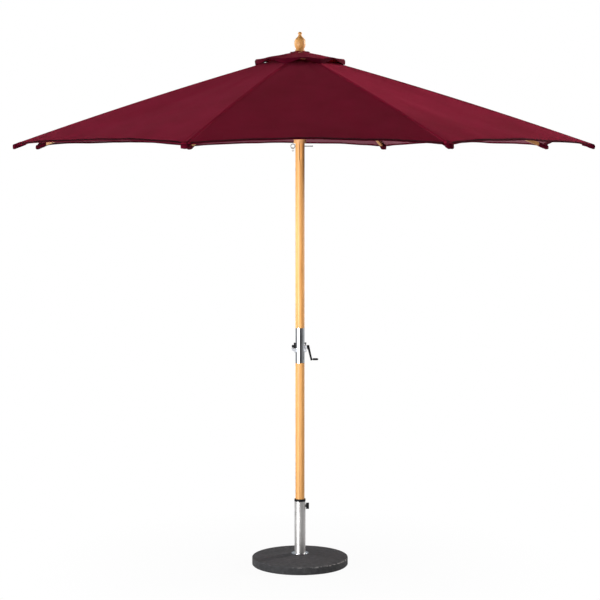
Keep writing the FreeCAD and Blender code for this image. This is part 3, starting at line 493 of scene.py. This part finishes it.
def hem_band(number):
    """The binding round the gore's outer edge: share of the hem's width, and height, of each fold."""
    columns = 61
    profile = ((0.0, -0.0012), (1.0, -0.0014), (1.04, -0.0004), (1.02, 0.0011), (0.0, 0.0012))
    verts, uvs = [], []
    for step, (reach, lift) in enumerate(profile):
        for column in range(columns):
            across = column / (columns - 1)
            outer = hem_radius(across)
            radius = outer - HEM_WIDTH * (1 - reach)
            verts.append(gore_point(number, across, radius, lift))
            uvs.append(((across - 0.5) * outer, step * 0.01))
    faces = facing_back(grid_faces(columns, len(profile)))
    # the band takes the dark binding cloth, which is painted shade
    band = piece("hem_%d" % number, verts, faces, [BINDING_PAINTED_SHADE], "rib_%d" % number, uvs)
    thicken(band, 0.0006)
    return band


def stitches(number):
    """A row of stitches along the hem, 3.4 mm long each."""
    length, gap, half_width, height = 0.0034, 0.0012, 0.0005, 0.0005
    seat, inset = 0.0011, 0.002            # above the cloth, and in from the hem's inner edge
    verts, faces, uvs = [], [], []
    edge = 2 * CANOPY_R * math.sin(HALF)
    count = int(edge / (length + gap))
    for index in range(count):
        start = (index + 0.2) / count
        end = start + length / edge
        base = len(verts)
        for across in (start, (start + end) / 2, end):
            radius = hem_radius(across) - HEM_WIDTH + inset
            width = half_width if across not in (start, end) else half_width * 0.3
            for shift, lift in ((-width, seat), (width, seat), (0.0, seat + height)):
                verts.append(gore_point(number, across, radius + shift, lift))
                uvs.append((across, shift))
        for ring in (0, 3):
            a, b, c = base + ring, base + ring + 1, base + ring + 2
            faces += [(a, a + 3, c + 3, c), (c, c + 3, b + 3, b), (b, b + 3, a + 3, a)]
        faces += [(base, base + 2, base + 1), (base + 6, base + 7, base + 8)]
    name = "hem_stitches_%d" % number
    return piece(name, verts, faces, [THREAD], "rib_%d" % number, uvs)


def rib_seam(number):
    """The felled seam over a rib, which covers the meeting of two gores."""
    rows = 90
    section = ((-0.0120, 0.0004), (-0.0115, 0.0009), (0.0, 0.0012), (0.0115, 0.0009), (0.0120, 0.0004))
    angle = rib_angle(number)
    side = sideways(angle)
    fall = math.tan(HALF) * CANOPY_FALL
    verts, uvs = [], []
    for row in range(rows):
        radius = VENT_R + (CANOPY_R + 0.001 - VENT_R) * row / (rows - 1)
        for offset, lift in section:
            point = polar(angle, radius, cloth_height(radius) + lift - abs(offset) * fall)
            verts.append(point + side * offset)
            uvs.append((offset, radius))
    faces = grid_faces(len(section), rows)
    seam = piece("rib_seam_%d" % number, verts, faces, [CLOTH_TOP], "rib_%d" % number, uvs)
    thicken(seam, 0.0008, offset=-1.0)
    return seam


def corner_pocket(number):
    """The sewn pocket that the rib's outer end sits in."""
    angle = rib_angle(number)
    rows, around = 18, 28
    inside, length = 0.056, 0.062          # from the corner inwards, and over all
    squareness, crumpling = 0.55, 0.0022
    verts, uvs = [], []
    for row in range(rows):
        share = row / (rows - 1)
        radius = CANOPY_R - inside + length * share
        # the pocket's end is rounded off
        close = math.sqrt(max(0.0, 1 - max(0.0, (share - 0.92) / 0.08) ** 2)) * 0.75 + 0.25
        middle = cloth_height(min(radius, CANOPY_R)) - CLOTH_AT_RIM
        half_width = (0.0115 + 0.0060 * share) * close
        half_height = (0.0115 + 0.0005 * share) * close
        for step in range(around):
            turn = 2 * math.pi * step / around
            x = math.copysign(abs(math.cos(turn)) ** squareness, math.cos(turn)) * half_width
            z = math.copysign(abs(math.sin(turn)) ** squareness, math.sin(turn)) * half_height
            seed = Vector((math.cos(turn) * 2, math.sin(turn) * 2, number * 3.7 + share * 5))
            crumple = crumpling * noise.noise(seed)
            point = polar(angle, radius, middle + z + crumple)
            verts.append(point + sideways(angle) * (x + crumple))
            uvs.append((turn * 0.01, radius))
    faces = tube_faces(around, rows)
    faces.append(tuple(range((rows - 1) * around, rows * around)))
    # the pocket takes the dark binding cloth, which is painted shade
    pocket = piece("corner_pocket_%d" % number, verts, faces, [BINDING_PAINTED_SHADE], "rib_%d" % number, uvs)
    thicken(pocket, 0.0012, offset=-1.0)
    return pocket


def cap_height(radius):
    """Height of the vent cap's middle line, straight from the crown to its corners."""
    return CAP_HIGH.z - CAP_SLOPE * radius + CLOTH_MIDDLE


def cap_gore(number):
    """One panel of the vent cap, with a skirt that hangs lowest at the ribs and arches between them."""
    columns, rows, skirt_rows = 33, 22, 8
    inner = CROWN_R - 0.004                # tucked under the crown cloth
    verts, uvs = [], []
    for row in range(rows + skirt_rows):
        for column in range(columns):
            across = column / (columns - 1)
            near_rib = abs(math.cos(math.pi * across)) ** 1.6
            share = min(1.0, row / (rows - 1))
            radius = inner + (CAP_R - inner) * share
            point = chord_point(number, across, radius)
            bulge = 0.010 * math.sin(math.pi * across) * share
            point *= 1 + bulge / max(radius, 0.05)
            crease = noise.noise(Vector((across * 6, radius * 22, number * 9.1))) * 0.0035
            crease += noise.noise(Vector((across * 15, radius * 50, number * 5.3))) * 0.0012
            fade = math.sin(math.pi * across) ** 0.6 * smooth(share * 3)
            arch = 0.006 * math.sin(math.pi * across) ** 2 * share ** 3
            height = cap_height(radius) + crease * fade + arch
            hang = max(0, row - rows + 1) / skirt_rows
            drop = 0.006 + 0.019 * near_rib
            point *= 1 + (0.006 * hang) / CAP_R
            point.z = height - drop * hang ** 1.1
            verts.append(point)
            uvs.append(((across - 0.5) * radius, radius + hang * 0.02))
    faces = grid_faces(columns, rows + skirt_rows)
    # the skirt rows take the dark binding cloth, which is painted shade
    slots = [1 if index // (columns - 1) >= rows - 1 else 0 for index in range(len(faces))]
    gore = piece("cap_gore_%d" % number, verts, faces, [CLOTH_TOP, BINDING_PAINTED_SHADE], "rib_%d" % number, uvs, slots)
    thicken(gore, CLOTH)
    return gore


def crown_cloth():
    """The small round of cloth clamped under the finial."""
    around, rows = 96, 14
    outer, inner, over_cap = CROWN_R, 0.012, 0.0030
    verts, uvs = [], []
    for row in range(rows):
        radius = inner + (outer - inner) * row / (rows - 1)
        for step in range(around):
            turn = 2 * math.pi * step / around
            pleat = 0.0022 * math.sin(8 * turn + 1.1) * smooth((radius - 0.025) / 0.03)
            pleat += 0.0018 * noise.noise(Vector((math.cos(turn) * 3, math.sin(turn) * 3, radius * 40)))
            height = cap_height(radius) + over_cap + pleat * smooth((radius - 0.018) / 0.01)
            verts.append(polar(turn, radius * (1 + 0.05 * math.sin(8 * turn + 0.4)), height))
            uvs.append((turn * radius, radius))
    faces = facing_back(tube_faces(around, rows))
    cloth = piece("crown_cloth", verts, faces, [CLOTH_TOP, CLOTH_UNDER], "upper_pole", uvs)
    thicken(cloth, CLOTH, under_slot=1)
    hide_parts("vent_cap")


def build_canopy():
    for number in range(1, RIBS + 1):
        gore, band, sewing = main_gore(number), hem_band(number), stitches(number)
        seam, pocket, cap = rib_seam(number), corner_pocket(number), cap_gore(number)
        for item in (gore, band, sewing):
            furl(item)
        furl(cap)


build_canopy()
crown_cloth()


# ---------------------------------------------------------------- stage, light and camera

FLOOR_HALF = 60.0


def build_stage():
    """A pale floor that looks white to the camera, and glows less in reflections."""
    material, nodes, links, shader = new_material("pale_floor")
    tone = noise_texture(nodes, links, scaled_coordinates(nodes, links, (1, 1, 1)), 0.7, 3.0)
    links.new(ramp(nodes, links, tone, [(0.3, (0.90, 0.90, 0.90)), (0.7, (0.93, 0.93, 0.93))]),
              shader.inputs["Base Color"])
    shader.inputs["Roughness"].default_value = 0.9
    shader.inputs["Specular IOR Level"].default_value = 0.1
    glow = nodes.new("ShaderNodeEmission")
    glow.inputs["Color"].default_value = (1, 1, 1, 1)
    blend = nodes.new("ShaderNodeMixShader")
    place = separate(nodes, links, nodes.new("ShaderNodeTexCoord").outputs["Object"])
    reach = distance_from_axis(nodes, links, place)
    bright = value_range(nodes, links, reach, 0.25, 1.4, 0.96, 1.0)
    near = value_range(nodes, links, reach, 1.8, 3.0, 0.50, 0.0)
    far = value_range(nodes, links, place["Y"], -6.0, -1.0, 0.0, 0.34)
    mirrored = math_node(nodes, links, "MAXIMUM", near, far)
    path = nodes.new("ShaderNodeLightPath").outputs
    seen = math_node(nodes, links, "MULTIPLY", path["Is Camera Ray"], bright)
    reflected = math_node(nodes, links, "MULTIPLY", path["Is Glossy Ray"], mirrored)
    part = math_node(nodes, links, "ADD", seen, reflected)
    links.new(part, blend.inputs["Fac"])
    links.new(shader.outputs[0], blend.inputs[1])
    links.new(glow.outputs[0], blend.inputs[2])
    links.new(blend.outputs[0], nodes["Material Output"].inputs["Surface"])
    mesh = bpy.data.meshes.new("floor")
    corners = [(x * FLOOR_HALF, y * FLOOR_HALF, 0) for x, y in ((-1, -1), (1, -1), (1, 1), (-1, 1))]
    mesh.from_pydata(corners, [], [(0, 1, 2, 3)])
    mesh.materials.append(material)
    floor = bpy.data.objects.new("floor", mesh)
    bpy.context.scene.collection.objects.link(floor)


def area_light(name, place, target, power, size, spread, colour):
    light = bpy.data.lights.new(name, "AREA")
    light.energy = power
    light.shape = "RECTANGLE"
    light.size, light.size_y = size
    light.spread = math.radians(spread)
    light.color = colour
    item = bpy.data.objects.new(name, light)
    item.location = place
    item.rotation_euler = (Vector(target) - Vector(place)).to_track_quat("-Z", "Y").to_euler()
    bpy.context.scene.collection.objects.link(item)


ROOM_FRONT, ROOM_BACK = 0.04, 0.42     # what polished surfaces see in front and behind
FILL_LOW, FILL_HIGH = 1.25, 0.05       # soft fill from the height of the pole, and from above
CANOPY_MIDDLE, POLE_MIDDLE = (0, 0, 2.4), (0, 0, 1.45)


def build_light():
    """The room looks white to the camera and grey in reflections; its light comes from a low band."""
    world = bpy.data.worlds.new("studio")
    world.use_nodes = True
    nodes, links = world.node_tree.nodes, world.node_tree.links
    seen = nodes["Background"]
    seen.inputs["Color"].default_value = (1, 1, 1, 1)
    direction = separate(nodes, links, nodes.new("ShaderNodeTexCoord").outputs["Generated"])
    path = nodes.new("ShaderNodeLightPath").outputs
    level = math_node(nodes, links, "ABSOLUTE", direction["Z"])
    depth = value_range(nodes, links, direction["Y"], -0.7, 0.4, ROOM_FRONT, ROOM_BACK)
    low_band = value_range(nodes, links, level, 0.2, 0.5, 1.0, 0.1)
    room_strength = math_node(nodes, links, "MULTIPLY", depth, low_band)
    fill_strength = value_range(nodes, links, level, 0.15, 0.4, FILL_LOW, FILL_HIGH)
    room = nodes.new("ShaderNodeBackground")
    room.inputs["Color"].default_value = (0.86, 0.94, 1.0, 1)
    links.new(room_strength, room.inputs["Strength"])
    fill = nodes.new("ShaderNodeBackground")
    fill.inputs["Color"].default_value = (1, 1, 1, 1)
    links.new(fill_strength, fill.inputs["Strength"])
    soft = nodes.new("ShaderNodeMixShader")
    links.new(path["Is Diffuse Ray"], soft.inputs["Fac"])
    links.new(room.outputs[0], soft.inputs[1])
    links.new(fill.outputs[0], soft.inputs[2])
    choose = nodes.new("ShaderNodeMixShader")
    links.new(path["Is Camera Ray"], choose.inputs["Fac"])
    links.new(soft.outputs[0], choose.inputs[1])
    links.new(seen.outputs[0], choose.inputs[2])
    links.new(choose.outputs[0], nodes["World Output"].inputs["Surface"])
    bpy.context.scene.world = world
    area_light("key_from_right", (7.5, 3.3, 3.8), CANOPY_MIDDLE, 58, (3.0, 2.0), 40, (1.0, 0.97, 0.93))
    area_light("left_rim", (-7.5, 2.4, 4.0), CANOPY_MIDDLE, 18, (3.0, 2.0), 40, (0.94, 0.97, 1.0))
    area_light("front_left", (-3.9, -4.3, 0.85), POLE_MIDDLE, 40, (2.0, 1.6), 45, (1, 1, 1))
    bpy.context.scene.view_settings.view_transform = "Standard"


CAMERA_AZIMUTH = math.radians(-3.2)
CAMERA_DISTANCE = 8.8
CAMERA_HEIGHT = 2.147
CAMERA_TILT = math.radians(4.96)
CAMERA_LENS, CAMERA_SENSOR = 103.0, 36.0       # millimetres


def build_camera():
    data = bpy.data.cameras.new("camera")
    data.lens = CAMERA_LENS
    data.sensor_width = CAMERA_SENSOR
    data.clip_end = 200.0
    item = bpy.data.objects.new("camera", data)
    item.location = polar(CAMERA_AZIMUTH - math.pi / 2, CAMERA_DISTANCE, CAMERA_HEIGHT)
    item.rotation_euler = (math.pi / 2 - CAMERA_TILT, 0, CAMERA_AZIMUTH)
    bpy.context.scene.collection.objects.link(item)
    bpy.context.scene.camera = item


build_stage()
build_light()
build_camera()
